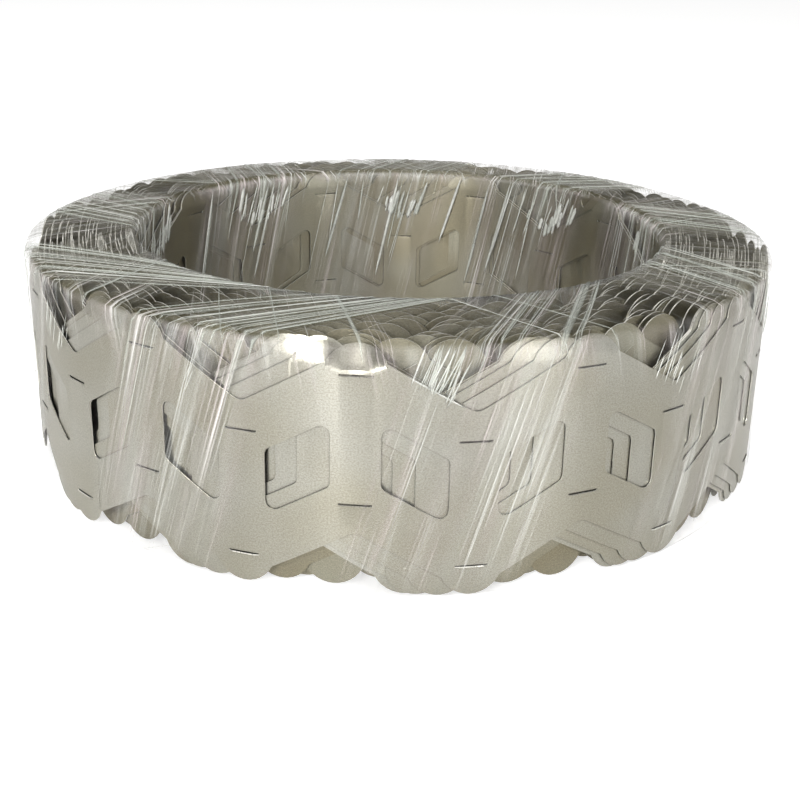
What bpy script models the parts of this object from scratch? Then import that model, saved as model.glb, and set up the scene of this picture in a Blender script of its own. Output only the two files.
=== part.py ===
"""A coil of punched nickel strip for joining battery cells, bound with clear stretch film.

The strip is the staggered kind: two cells in each column, and each column half a cell above or
below its neighbours. It is wound flat into a ring, so its zigzag edges show on both ends of the
ring, and its windows show on the outside and in the bore. One band of film is wound through the
bore, round and round the ring.

Metres, +Z up. The origin is the centre of the outer wall, on the floor that the film rests on.
Angles run from the front, which is -Y, towards +X.
"""

import math

import bmesh
import bpy

MM = 0.001

# The flat strip.
CELL_PITCH = 18.5 * MM
STRIP_THICKNESS = 0.2 * MM
TAB_RADIUS = 4.4 * MM
EDGE_MARGIN = 4.0 * MM
WINDOW_SIDE = 9.6 * MM
WINDOW_CORNER = 1.2 * MM
BRIDGE_WIDTH = 6.8 * MM
SLOT_LENGTH = 4.6 * MM
SLOT_WIDTH = 0.5 * MM

# The winding. The bore is shifted towards the back, because the turns are looser at the front.
BORE_RADIUS = 45.30 * MM
TURNS = 70
TURN_GAP = 0.03925 * MM
BORE_SHIFT = 3.6 * MM
FRONT_COLUMN_ANGLE = math.radians(-4.66)
BACK_COLUMN_ANGLE = math.radians(180.1)

# The solid gathers its turns in layers, each biting into the next one. Thin ones stand for turns
# whose tabs line up, and thick ones for the turns between, whose tabs alternate.
ALIGNED_WIDTH = 1.8 * MM
LAYER_BITE = 0.3 * MM
TAB_FLAT = 2.4 * MM
UNDER_LEDGE = 0.17 * MM
SHORTEST_END_GAP = 3.0 * MM
END_TRIM = 0.3 * MM
CUTTER_PROUD = 0.6 * MM

# The film.
FILM_WIDTH = 18.0 * MM
FILM_THICKNESS = 0.3 * MM
FILM_CLEARANCE = 0.4 * MM
FILM_CORNER = 0.8 * MM
FILM_LAPS = 9
FILM_FRONT_ANGLE = math.radians(11.5)
FILM_STRANDS = 3
WALL_PIECES = 3
RIM_PIECES = 2

# Points closer than this are one point, and faces that meet at less than this angle look smooth.
MERGE = 0.001 * MM
SMOOTH_ANGLE = math.radians(30)

# Sizes that follow from the ones above. The cells sit as closely as they can, so the strip's edges
# slope at 30 degrees.
SLOPE_ANGLE = math.radians(30)
SLOPE = math.tan(SLOPE_ANGLE)
COLUMN_PITCH = CELL_PITCH * math.cos(SLOPE_ANGLE)
PERIOD = 2 * COLUMN_PITCH
HIGH_CELL = 0.75 * CELL_PITCH
LOW_CELL = 0.25 * CELL_PITCH
HALF_WIDTH = HIGH_CELL + TAB_RADIUS
TURN_PITCH = STRIP_THICKNESS + TURN_GAP
OUTER_RADIUS = BORE_RADIUS + TURNS * TURN_PITCH
COIL_MIDDLE = FILM_THICKNESS + FILM_CLEARANCE + HALF_WIDTH

# The sloping edge passes this far from a cell's centre, and meets the tab's arc at the shoulder.
EDGE_DISTANCE = EDGE_MARGIN * math.cos(SLOPE_ANGLE)
HALF_CHORD = math.sqrt(TAB_RADIUS**2 - EDGE_DISTANCE**2)
SHOULDER = EDGE_DISTANCE * math.sin(SLOPE_ANGLE) + HALF_CHORD * math.cos(SLOPE_ANGLE)

# Each window's ends and the reach of its rounded corners, from the middle of the high column.
WINDOW_NEAR = BRIDGE_WIDTH / 2
WINDOW_FAR = COLUMN_PITCH - BRIDGE_WIDTH / 2
ACUTE_REACH = WINDOW_CORNER * (1 + math.sin(SLOPE_ANGLE))
OBTUSE_REACH = WINDOW_CORNER * (1 - math.sin(SLOPE_ANGLE))

# Stations across one column, where a layer's outline has a vertex, and where a hole has one.
# Tabs are flat on top on the outermost and innermost layers, and pointed on the ones between.
LAYER_STATIONS = [TAB_FLAT / 2, SHOULDER]
POINTED_STATIONS = [0, SHOULDER]
MIXED_STATIONS = [0, COLUMN_PITCH / 2]
HOLE_STATIONS = [
    SLOT_LENGTH / 2,
    WINDOW_NEAR,
    WINDOW_NEAR + OBTUSE_REACH,
    WINDOW_NEAR + ACUTE_REACH,
]

# The outermost turn stops this far short of a full round, so the strip's end shows at the back.
OUTER_COLUMNS = 2 * math.floor((2 * math.pi * OUTER_RADIUS - SHORTEST_END_GAP) / PERIOD)
END_GAP = 2 * math.pi * OUTER_RADIUS - OUTER_COLUMNS * COLUMN_PITCH

# How far on the strip's pattern is in the second turn, where it lies under the outermost one.
SECOND_LEAD = (2 * math.pi * (OUTER_RADIUS - TURN_PITCH / 2)) % PERIOD
SECOND_SCALE = 1 - TURN_PITCH / OUTER_RADIUS


def edges_at(along):
    """Bottom and top of the strip, at a distance along it."""
    return -upper_edge(along + COLUMN_PITCH), upper_edge(along)


def upper_edge(along):
    """Height of the strip's upper edge. The lower edge is the same, half a turn round."""
    column = round(along / COLUMN_PITCH)
    offset = abs(along - column * COLUMN_PITCH)
    if column % 2:
        return LOW_CELL + EDGE_MARGIN + SLOPE * offset
    if offset < SHOULDER:
        return HIGH_CELL + math.sqrt(TAB_RADIUS**2 - offset**2)
    return LOW_CELL + EDGE_MARGIN + SLOPE * (COLUMN_PITCH - offset)


def mixed_edges(along):
    """Bottom and top of two turns together, where the tabs of one lie in the other's notches."""
    top = max(upper_edge(along), upper_edge(along + COLUMN_PITCH))
    return -top, top


def window_top(from_high):
    """Top of a window with rounded corners, at a distance from the high column beside it."""
    def slope_at(distance):
        return SLOPE * (COLUMN_PITCH / 2 - distance) + WINDOW_SIDE / 2

    from_high = min(max(from_high, WINDOW_NEAR), WINDOW_FAR)
    drop = WINDOW_CORNER / math.cos(SLOPE_ANGLE)
    near_middle = WINDOW_NEAR + WINDOW_CORNER
    far_middle = WINDOW_FAR - WINDOW_CORNER
    if from_high < WINDOW_NEAR + ACUTE_REACH:
        across = from_high - near_middle
        return slope_at(near_middle) - drop + math.sqrt(max(0.0, WINDOW_CORNER**2 - across**2))
    if from_high > WINDOW_FAR - OBTUSE_REACH:
        across = from_high - far_middle
        return slope_at(far_middle) - drop + math.sqrt(max(0.0, WINDOW_CORNER**2 - across**2))
    return slope_at(from_high)


def window_between(middle, ends):
    """Bottom and top of the window over a stretch of strip, at each end, or None on a bridge."""
    column = math.floor(middle / COLUMN_PITCH)
    offset = middle - column * COLUMN_PITCH
    if not WINDOW_NEAR < offset < WINDOW_FAR:
        return None
    found = []
    for end in ends:
        from_left = end - column * COLUMN_PITCH
        from_high = COLUMN_PITCH - from_left if column % 2 else from_left
        found.append((-window_top(COLUMN_PITCH - from_high), window_top(from_high)))
    return found


def slots_between(middle):
    """The heights of the weld slots over a stretch of strip."""
    column = round(middle / COLUMN_PITCH)
    if abs(middle - column * COLUMN_PITCH) > SLOT_LENGTH / 2:
        return []
    return [-HIGH_CELL, LOW_CELL] if column % 2 else [-LOW_CELL, HIGH_CELL]


def punched_holes(start, end):
    """Windows and slots in a stretch of strip, as bottom and top at each end."""
    middle = (start + end) / 2
    holes = []
    window = window_between(middle, (start, end))
    if window:
        holes.append(window)
    for height in slots_between(middle):
        span = (height - SLOT_WIDTH / 2, height + SLOT_WIDTH / 2)
        holes.append([span, span])
    return sorted(holes)


def to_second(along):
    """Distance along the second turn, at the place where the outermost turn has this one."""
    return along * SECOND_SCALE + SECOND_LEAD


def from_second(along):
    """The reverse of to_second."""
    return (along - SECOND_LEAD) / SECOND_SCALE


def second_holes(start, end):
    """The parts of the second turn's windows that show through the outermost turn's windows."""
    middle = (start + end) / 2
    first = window_between(middle, (start, end))
    second = window_between(to_second(middle), (to_second(start), to_second(end)))
    if not first or not second:
        return []
    hole = []
    for over, under in zip(first, second):
        hole.append((max(over[0] + UNDER_LEDGE, under[0]), min(over[1] - UNDER_LEDGE, under[1])))
    if min(top - bottom for bottom, top in hole) < SLOT_WIDTH:
        return []
    return [hole]


def column_stations(offsets, first, last):
    """Distances along the strip of every station from one of its columns to another."""
    found = [first * COLUMN_PITCH, last * COLUMN_PITCH]
    for column in range(first, last + 1):
        for offset in offsets:
            if column > first:
                found.append(column * COLUMN_PITCH - offset)
            if column < last:
                found.append(column * COLUMN_PITCH + offset)
    return sorted(found)


def thin_out(stations, spacing):
    """Stations with none closer together than the spacing."""
    kept = [stations[0]]
    for at in stations[1:]:
        if at - kept[-1] >= spacing:
            kept.append(at)
    kept[-1] = stations[-1]
    return kept


def flat_strip(name, stations, edges, thickness, collection):
    """A length of plain strip lying flat: along X, its height in Z, its depth in Y."""
    bm = bmesh.new()
    rows = []
    for along in stations:
        bottom, top = edges(along)
        rows.append((bm.verts.new((along, 0, bottom)), bm.verts.new((along, 0, top))))
    for left, right in zip(rows, rows[1:]):
        bm.faces.new((left[0], right[0], right[1], left[1]))
    return thickened(name, bm, thickness, collection)


def flat_holes(name, stations, holes, depth, collection):
    """The holes of a flat length of strip as solids, from their floor out past its face."""
    bm = bmesh.new()
    for start, end in zip(stations, stations[1:]):
        for (low_start, high_start), (low_end, high_end) in holes(start, end):
            corners = ((start, low_start), (end, low_end), (end, high_end), (start, high_start))
            bm.faces.new([bm.verts.new((along, -CUTTER_PROUD, high)) for along, high in corners])
    bmesh.ops.remove_doubles(bm, verts=bm.verts, dist=MERGE)
    return thickened(name, bm, depth + CUTTER_PROUD, collection)


def thickened(name, bm, thickness, collection):
    """An object from an open flat surface, thickened towards +Y."""
    made = new_object(name, bm, collection)
    thicken = made.modifiers.new("thickness", "SOLIDIFY")
    thicken.thickness = thickness
    thicken.offset = -1
    apply_modifiers(made)
    return made


def wind(strip, face_radius, inward, angle_at, ring=None):
    """Wind a flat strip round the coil's middle. A ring's start and end are joined."""
    bm = bmesh.new()
    bm.from_mesh(strip.data)
    if ring:
        caps = []
        for face in bm.faces:
            for end in ring:
                if all(abs(vert.co.x - end) < MERGE for vert in face.verts):
                    caps.append(face)
        bmesh.ops.delete(bm, geom=caps, context="FACES")
    for vert in bm.verts:
        depth = vert.co.y
        radius = face_radius - depth if inward else face_radius + depth
        vert.co = on_coil(angle_at(vert.co.x), radius, vert.co.z)
    if ring:
        bmesh.ops.remove_doubles(bm, verts=bm.verts, dist=MERGE)
    bm.normal_update()
    bmesh.ops.recalc_face_normals(bm, faces=bm.faces)
    bm.to_mesh(strip.data)
    bm.free()


def on_coil(angle, radius, height):
    """A point on the coil. Deeper turns sit further back, for the front is wound looser."""
    depth = (OUTER_RADIUS - radius) / (OUTER_RADIUS - BORE_RADIUS)
    shift = BORE_SHIFT * min(max(depth, 0.0), 1.0)
    return (
        radius * math.sin(angle),
        shift - radius * math.cos(angle),
        COIL_MIDDLE + height,
    )


def new_object(name, bm, collection):
    """A mesh object made from bm."""
    mesh = bpy.data.meshes.new(name)
    bm.to_mesh(mesh)
    bm.free()
    made = bpy.data.objects.new(name, mesh)
    collection.objects.link(made)
    return made


def apply_modifiers(made):
    """Put the result of an object's modifiers into its mesh."""
    depsgraph = bpy.context.evaluated_depsgraph_get()
    result = bpy.data.meshes.new_from_object(made.evaluated_get(depsgraph))
    made.modifiers.clear()
    old = made.data
    made.data = result
    bpy.data.meshes.remove(old)


def combine(made, operation, operands):
    """Join the objects of a collection to an object, or cut them out of it."""
    step = made.modifiers.new(operation.lower(), "BOOLEAN")
    step.operation = operation
    step.solver = "EXACT"
    step.operand_type = "COLLECTION"
    step.collection = operands
    apply_modifiers(made)


def finish(made, material):
    """Give a piece its one material, and smooth shading over its round faces."""
    made.data.materials.clear()
    made.data.materials.append(material)
    made.data.shade_smooth()
    made.data.set_sharp_from_angle(angle=SMOOTH_ANGLE)


def new_material(name, colour, metallic, roughness, alpha=1.0):
    """A Principled material."""
    material = bpy.data.materials.new(name)
    material.use_nodes = True
    shader = material.node_tree.nodes["Principled BSDF"]
    shader.inputs["Base Color"].default_value = (*colour, 1.0)
    shader.inputs["Metallic"].default_value = metallic
    shader.inputs["Roughness"].default_value = roughness
    shader.inputs["Alpha"].default_value = alpha
    material.diffuse_color = (*colour, alpha)
    return material


def outer_angle(along):
    """Angle of a place on the outermost turn."""
    return FRONT_COLUMN_ANGLE + along / OUTER_RADIUS


def outer_layer(collection, cutters):
    """The outermost layer, with one wide column at the back where the strip ends."""
    half = OUTER_COLUMNS // 2
    last = half * COLUMN_PITCH
    stations = column_stations(LAYER_STATIONS, -half, half) + [last + END_GAP]

    def edges(along):
        return edges_at(min(along, last))

    thickness = ALIGNED_WIDTH + LAYER_BITE
    outer = flat_strip("nickel_strip_coil", stations, edges, thickness, collection)
    wind(outer, OUTER_RADIUS, True, outer_angle, ring=(stations[0], stations[-1]))
    outer_cuts(cutters)
    combine(outer, "DIFFERENCE", cutters)
    return outer


def outer_cuts(cutters):
    """The windows and slots of the outermost turn, the windows under them, and the strip's end."""
    half = OUTER_COLUMNS // 2
    stations = column_stations(HOLE_STATIONS, -half, half)[1:-1]
    holes = flat_holes("outer_holes", stations, punched_holes, TURN_PITCH, cutters)
    wind(holes, OUTER_RADIUS, True, outer_angle)

    stations = second_stations(half)
    deep = flat_holes("second_holes", stations, second_holes, 2 * TURN_PITCH, cutters)
    wind(deep, OUTER_RADIUS, True, outer_angle)

    def taller_than_strip(along):
        return -HALF_WIDTH - CUTTER_PROUD, HALF_WIDTH + CUTTER_PROUD

    last = half * COLUMN_PITCH
    ends = [last - END_TRIM, last + END_GAP + END_TRIM]
    gap = flat_strip("strip_end", ends, taller_than_strip, CUTTER_PROUD + TURN_PITCH, cutters)
    wind(gap, OUTER_RADIUS + CUTTER_PROUD, True, outer_angle)


def second_stations(half):
    """Stations for the second turn's windows, inside each window of the outermost turn."""
    corners = (WINDOW_NEAR, WINDOW_NEAR + ACUTE_REACH, WINDOW_FAR - ACUTE_REACH, WINDOW_FAR)
    places = set()
    for column in range(-half, half):
        left = column * COLUMN_PITCH + WINDOW_NEAR + UNDER_LEDGE
        right = column * COLUMN_PITCH + WINDOW_FAR - UNDER_LEDGE
        places.update((left, right))
        for under in range(column - 2, column + 3):
            for corner in corners:
                at = from_second(under * COLUMN_PITCH + corner)
                if left < at < right:
                    places.add(at)
    return thin_out(sorted(places), SLOT_WIDTH)


def columns_round(radius):
    """The even number of columns that comes nearest to going once round."""
    return 2 * round(2 * math.pi * radius / PERIOD)


def closed_layer(name, face_radius, inward, first_column, thickness, outline, collection):
    """A layer with a whole number of columns, and the function from a distance to its angle."""
    offsets, edges = outline
    columns = columns_round(face_radius)

    def angle_at(along):
        return first_column + along / COLUMN_PITCH * 2 * math.pi / columns

    stations = thin_out(column_stations(offsets, 0, columns), MERGE)
    layer = flat_strip(name, stations, edges, thickness, collection)
    wind(layer, face_radius, inward, angle_at, ring=(stations[0], stations[-1]))
    return layer, angle_at


def layer_faces():
    """Outer radius and outline of each layer between the outermost and the innermost.

    Where a turn holds a whole number of periods, its tabs line up with its neighbours'. Between
    such turns they alternate.
    """
    aligned_outline = (POINTED_STATIONS, edges_at)
    mixed_outline = (MIXED_STATIONS, mixed_edges)
    faces = [(OUTER_RADIUS - ALIGNED_WIDTH, mixed_outline)]
    for periods in range(math.floor(2 * math.pi * OUTER_RADIUS / PERIOD), 0, -1):
        aligned = periods * PERIOD / (2 * math.pi)
        outside = aligned + ALIGNED_WIDTH / 2
        inside = aligned - ALIGNED_WIDTH / 2
        if outside < faces[-1][0] - ALIGNED_WIDTH and inside > BORE_RADIUS + 2 * ALIGNED_WIDTH:
            faces += [(outside, aligned_outline), (inside, mixed_outline)]
    return faces


def middle_layers(layers):
    """The turns between, gathered in layers. Each starts where the winding has brought it."""
    faces = layer_faces()
    insides = [radius for radius, _ in faces[1:]] + [BORE_RADIUS + ALIGNED_WIDTH]
    for index, ((radius, outline), inside) in enumerate(zip(faces, insides)):
        turns = round((OUTER_RADIUS - (radius + inside) / 2) / TURN_PITCH)
        wound = 2 * math.pi * (OUTER_RADIUS * turns - TURN_PITCH * turns**2 / 2)
        first_column = FRONT_COLUMN_ANGLE - (wound % PERIOD) / radius
        thickness = radius - inside + LAYER_BITE
        name = f"layer_{index + 1}"
        closed_layer(name, radius, True, first_column, thickness, outline, layers)


def bore_layer(layers, cutters):
    """The innermost layer, with its windows and slots, which open to the bore."""
    columns = columns_round(BORE_RADIUS)
    first_column = BACK_COLUMN_ANGLE + 2 * math.pi / columns
    outline = (LAYER_STATIONS, edges_at)
    layer, angle_at = closed_layer(
        "bore_layer", BORE_RADIUS, False, first_column, ALIGNED_WIDTH, outline, layers
    )
    stations = column_stations(HOLE_STATIONS, 0, columns)
    holes = flat_holes("bore_holes", stations, punched_holes, TURN_PITCH, cutters)
    wind(holes, BORE_RADIUS, False, angle_at, ring=(stations[0], stations[-1]))
    combine(layer, "DIFFERENCE", cutters)


def strip_coil(collection, layers, outer_cutters, bore_cutters):
    """The whole coil as one solid."""
    coil = outer_layer(collection, outer_cutters)
    middle_layers(layers)
    bore_layer(layers, bore_cutters)
    combine(coil, "UNION", layers)
    finish(coil, new_material("satin_nickel", (0.50, 0.48, 0.43), 1.0, 0.35))


def film_lap():
    """One lap round the coil's section: radius and height, and the distance covered so far."""
    outside = OUTER_RADIUS + FILM_CLEARANCE
    inside = BORE_RADIUS - FILM_CLEARANCE
    half = HALF_WIDTH + FILM_CLEARANCE
    wall = half - FILM_CORNER
    corners = [
        (outside, -wall, WALL_PIECES),
        (outside, wall, 1),
        (outside - FILM_CORNER, half, RIM_PIECES),
        (inside + FILM_CORNER, half, 1),
        (inside, wall, WALL_PIECES),
        (inside, -wall, 1),
        (inside + FILM_CORNER, -half, RIM_PIECES),
        (outside - FILM_CORNER, -half, 1),
    ]
    points = []
    for here, ahead in zip(corners, corners[1:] + corners[:1]):
        pieces = here[2]
        for piece in range(pieces):
            share = piece / pieces
            radius = here[0] + (ahead[0] - here[0]) * share
            height = here[1] + (ahead[1] - here[1]) * share
            points.append((radius, height))

    covered = [0.0]
    for here, ahead in zip(points, points[1:] + points[:1]):
        covered.append(covered[-1] + math.dist(here, ahead))
    return points, covered


def stretch_film(collection):
    """The film: one band that goes up the outside, in over the top and down the bore, leaning."""
    points, covered = film_lap()
    lap = covered[-1]
    lap_angle = 2 * math.pi / FILM_LAPS
    middle_of_wall = HALF_WIDTH + FILM_CLEARANCE - FILM_CORNER
    half_angle = FILM_WIDTH / 2 / OUTER_RADIUS

    bm = bmesh.new()
    rows = []
    for turn in range(FILM_LAPS):
        for (radius, height), distance in zip(points, covered):
            wound = turn + (distance - middle_of_wall) / lap
            angle = FILM_FRONT_ANGLE + wound * lap_angle
            # The band necks in a little as it is drawn into the bore.
            spread = half_angle * math.sqrt(OUTER_RADIUS / radius)
            row = []
            for strand in range(FILM_STRANDS + 1):
                across = (2 * strand / FILM_STRANDS - 1) * spread
                row.append(bm.verts.new(on_coil(angle + across, radius, height)))
            rows.append(row)
    for index, row in enumerate(rows):
        ahead = rows[(index + 1) % len(rows)]
        for strand in range(FILM_STRANDS):
            bm.faces.new((row[strand], row[strand + 1], ahead[strand + 1], ahead[strand]))

    film = new_object("stretch_film", bm, collection)
    thicken = film.modifiers.new("thickness", "SOLIDIFY")
    thicken.thickness = FILM_THICKNESS
    thicken.offset = 1
    thicken.use_even_offset = True
    apply_modifiers(film)
    finish(film, new_material("clear_film", (0.86, 0.87, 0.85), 0.0, 0.12, 0.3))


def main():
    """Build the coil and its film in an empty scene."""
    for old in list(bpy.data.objects):
        bpy.data.objects.remove(old)

    def new_collection(name):
        made = bpy.data.collections.new(name)
        bpy.context.scene.collection.children.link(made)
        return made

    product = new_collection("nickel_strip_roll")
    helpers = [new_collection(name) for name in ("layers", "outer_cutters", "bore_cutters")]
    strip_coil(product, *helpers)
    stretch_film(product)
    for collection in helpers:
        for helper in collection.objects:
            helper.hide_render = True
            helper.display_type = "WIRE"


main()
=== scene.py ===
"""The looks of a coil of punched nickel strip, bound with clear stretch film.

The strip is punched flat and then wound, as the real one is. Its outline, windows and weld slots
are laid out along its length, and each point is carried to its place on the spiral. The film is
wound through the bore and round the wall, twice round the ring: each time a pleated skin, with
strands gathered on it.

Metres, +Z up. Angles run from the front, which is -Y, towards +X. "Along" is a distance along the
strip from the middle of the column that faces the camera.
"""

import math
import random

import bmesh
import bpy
from bpy.props import FloatProperty, FloatVectorProperty, IntProperty, PointerProperty
from mathutils import Matrix, Vector, noise


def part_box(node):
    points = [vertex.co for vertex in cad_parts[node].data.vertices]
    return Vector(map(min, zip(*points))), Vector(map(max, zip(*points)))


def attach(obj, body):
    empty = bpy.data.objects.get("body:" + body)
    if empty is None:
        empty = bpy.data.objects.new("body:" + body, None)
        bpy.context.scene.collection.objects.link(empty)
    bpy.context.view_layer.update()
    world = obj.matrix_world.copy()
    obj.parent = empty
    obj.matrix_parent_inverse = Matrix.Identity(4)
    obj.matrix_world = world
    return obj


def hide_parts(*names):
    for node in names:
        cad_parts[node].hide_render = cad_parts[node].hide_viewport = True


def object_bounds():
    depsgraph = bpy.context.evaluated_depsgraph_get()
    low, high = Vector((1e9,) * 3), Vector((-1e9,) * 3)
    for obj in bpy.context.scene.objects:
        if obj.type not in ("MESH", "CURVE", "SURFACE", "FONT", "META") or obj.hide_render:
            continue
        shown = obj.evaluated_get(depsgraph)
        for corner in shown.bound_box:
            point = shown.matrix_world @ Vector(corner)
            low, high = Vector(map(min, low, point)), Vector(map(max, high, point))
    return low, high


bl_info = {
    "name": "Nickel Strip Coil",
    "version": (1, 0, 0),
    "blender": (4, 5, 0),
    "location": "3D View > Sidebar > Strip Coil",
    "description": "Builds a coil of punched nickel strip bound with clear stretch film",
    "category": "Add Mesh",
}

MM = 0.001
IMAGE_WIDTH = 800
SENSOR_WIDTH = 36.0
SMOOTH_ANGLE = math.radians(30)
# The cells sit as closely as they can, so the strip's edges slope at 30 degrees.
SLOPE_ANGLE = math.radians(30)
# Where the outline has a vertex round a tab's arc, in degrees from its top.
ARC_STEPS = (11, 22, 33, 45, 57)
# Lines across a tab that let it bend, as shares of the way from its lowest fold to its edge.
FOLD_SHARES = (0.0, 0.12, 0.25, 0.4, 0.6)
# The coil stands on its lower tabs, which bend only this share of what the upper ones do.
LOWER_TAB_SHARE = 0.2
# Rows of the film's skin in one lap, and its columns in one pleat.
SKIN_ROWS = 72
PLEAT_COLUMNS = 3
# How far each lap of the film leans over the top, in degrees, from the lap at the front onwards.
LAP_RAKES = (34, 14, 20, 20, 20, 20, 28, 46, 43)

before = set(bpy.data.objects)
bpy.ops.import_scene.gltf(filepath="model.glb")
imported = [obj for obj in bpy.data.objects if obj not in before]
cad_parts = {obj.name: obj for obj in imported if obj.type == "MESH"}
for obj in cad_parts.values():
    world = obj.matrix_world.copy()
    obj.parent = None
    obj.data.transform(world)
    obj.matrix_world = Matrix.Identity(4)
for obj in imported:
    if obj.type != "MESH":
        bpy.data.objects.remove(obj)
CAD_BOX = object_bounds()
FILM_LOW, FILM_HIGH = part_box("stretch_film")


def linear(hex_value):
    """Linear colour from an sRGB hex value."""
    channels = [int(hex_value[place:place + 2], 16) / 255 for place in (1, 3, 5)]
    return tuple(c / 12.92 if c <= 0.04045 else ((c + 0.055) / 1.055) ** 2.4 for c in channels)


def apart(direction, other):
    """How far round one direction is from another, at most half a turn either way."""
    return (direction - other + math.pi) % (2 * math.pi) - math.pi


def length(name, description, millimetres):
    """A property for a length."""
    return FloatProperty(
        name=name, description=description, default=millimetres * MM, unit="LENGTH", precision=5
    )


def angle(name, description, degrees):
    """A property for an angle."""
    return FloatProperty(
        name=name, description=description, default=math.radians(degrees), subtype="ANGLE"
    )


def number(name, description, value):
    """A property for a plain number."""
    kind = IntProperty if isinstance(value, int) else FloatProperty
    return kind(name=name, description=description, default=value)


def colour(name, description, hex_value):
    """A property for a colour, from its sRGB hex value."""
    return FloatVectorProperty(
        name=name, description=description, default=linear(hex_value), subtype="COLOR",
        size=3, min=0.0, max=1.0,
    )


class StripSizes(bpy.types.PropertyGroup):
    """The flat strip, as it comes off the press."""

    cell_pitch: length("Cell pitch", "Distance between the centres of neighbouring cells", 18.5)
    thickness: length("Thickness", "Thickness of the strip", 0.17)
    tab_radius: length("Tab radius", "Radius of the round tab at each edge cell", 4.4)
    edge_margin: length("Edge margin", "From a cell's centre up to the sloping edge", 4.0)
    notch_fillet: length("Notch fillet", "Radius at the bottom of each notch", 1.8)
    window_side: length("Window side", "Height of a window's upright sides", 9.6)
    window_corner: length("Window corner", "Radius of a window's corners", 1.2)
    bridge_width: length("Bridge width", "Width of the metal between two windows", 6.8)
    slot_length: length("Slot length", "Length of a weld slot", 4.6)
    slot_width: length("Slot width", "Width of a weld slot", 0.30)
    slot_lip: length("Slot lip", "How far the slot's lower edge is pushed out", 0.20)


class CoilSizes(bpy.types.PropertyGroup):
    """The strip's winding."""

    outer_radius: length("Outer radius", "Radius of the wall at the front", 62.05)
    bore_radius: length("Bore radius", "Radius of the bore", 45.30)
    turn_pitch: length("Turn pitch", "How much smaller each turn is than the last", 0.23925)
    bore_shift: length("Bore shift", "How far the bore lies back, for the front is looser", 3.6)
    front_column: angle("Front column", "Direction of the column that faces the camera", -4.66)
    start_columns: number("Start columns", "Columns from the outer end to the front", 12)
    turns: number("Turns", "Turns from the front column to the inner end", 69.1)
    outer_turns: number("Outer turns", "Turns whose windows show on the wall", 6.6)
    bore_turns: number("Bore turns", "Turns whose windows show in the bore", 4.0)
    wander: length("Wander", "How far a turn's height strays from its neighbours'", 0.14)
    ripple: length("Ripple", "How far the wall strays from round", 0.09)
    rim_reach: length("Rim reach", "How deep into the coil the film bends the tabs", 6.0)
    wall_lean: angle("Tab lean", "How far the film bends the tabs in over the coil", 9.0)
    bore_lean: angle("Bore tab lean", "How far it bends the tabs round the bore", 10.0)
    pressed_lean: angle("Pressed lean", "How much further the tabs at the front are bent", 30.0)
    pressed_at: angle("Pressed place", "Direction of those tabs", -4.66)
    pressed_spread: angle("Pressed spread", "How far round from there they are bent", 7.0)
    fold_rise: length("Fold rise", "How much higher the fold is at each side of that place", 1.2)


class FilmSizes(bpy.types.PropertyGroup):
    """The film, which goes round the ring twice."""

    clearance: length("Clearance", "Gap between the skin and the strip", 0.30)
    corner: length("Corner", "Radius of the film over the coil's rims", 1.1)
    width: length("Width", "Width of the band", 29.0)
    laps: number("Laps", "Laps of the band round the ring", 9)
    front: angle("Front lap", "Direction of the lap nearest the front", 9.5)
    wall_turn: angle("Wall turn", "How far round the band moves on its way up the wall", 10.0)
    second_width: length("Second width", "Width of the band the second time round", 40.0)
    second_front: angle("Second front lap", "The same for the second time round", 31.5)
    second_turn: angle("Second wall turn", "The same for the second time round", -7.0)
    second_rake: angle("Second rake", "How the second time round leans over the top", -24.0)
    pleat_pitch: length("Pleat pitch", "Distance between the skin's pleats", 1.3)
    pleat_height: length("Pleat height", "Height of the skin's pleats", 0.10)
    fade: length("Fade", "How far in from its edges the film thins out", 5.0)
    thin_at: angle("Thin place", "Direction in which the film lies thinnest over the top", 12.0)
    thin_spread: angle("Thin spread", "How far round from there it is thin", 38.0)


class Finishes(bpy.types.PropertyGroup):
    """Colours of the strip and the film."""

    nickel: colour("Nickel", "Rolled nickel where it is clean", "#AFADA3")
    nickel_warm: colour("Warm nickel", "Rolled nickel where it has yellowed", "#A6A293")
    # Painted shade: the turns inside the outer ones get these darker colours, for the shade in the
    # bore and between the tabs; the olive one is also yellowed in patches.
    nickel_dull_painted_shade: colour("Dull nickel", "Nickel of the turns inside the outer ones", "#9B9888")
    nickel_olive_painted_shade: colour("Olive nickel", "The same where it has yellowed", "#8D8671")
    # The cut edge's paler colour is partly sheared metal and partly painted highlight.
    cut_edge_and_highlight: colour("Cut edge", "Sheared nickel at the strip's edges", "#F2F0E6")
    # The film's white is partly the whitening of its stretch lines and partly painted glints.
    film: colour("Film", "Film where its stretch lines whiten it", "#F5F6F0")
    film_tint: colour("Tinted film", "Film where the light through it turns green", "#E2E8DC")
    film_rose: colour("Rose film", "Film where the light through it turns pink", "#EDE2E0")
    # Painted shade: film that faces up is given this dark olive-grey, for the dark room that it
    # mirrors over the top.
    film_top_painted_shade: colour("Slack film", "Film over the top, which greys what is under it", "#605C46")


class Studio(bpy.types.PropertyGroup):
    """Camera and lights."""

    elevation: angle("Elevation", "Height of the camera above the horizon", 21.38)
    roll: angle("Roll", "How far the camera is rolled", 1.19)
    distance: length("Distance", "From the camera to the point it looks at", 232.7)
    focal_pixels: number("Focal length", "Focal length, in pixels of the photograph", 1281.8)
    look_right: length("Look right", "How far right of the coil's middle the camera looks", 0.69)
    look_height: length("Look height", "Height of the point the camera looks at", 5.475)
    room: number("Room light", "Strength of the light from all round", 0.62)


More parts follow.
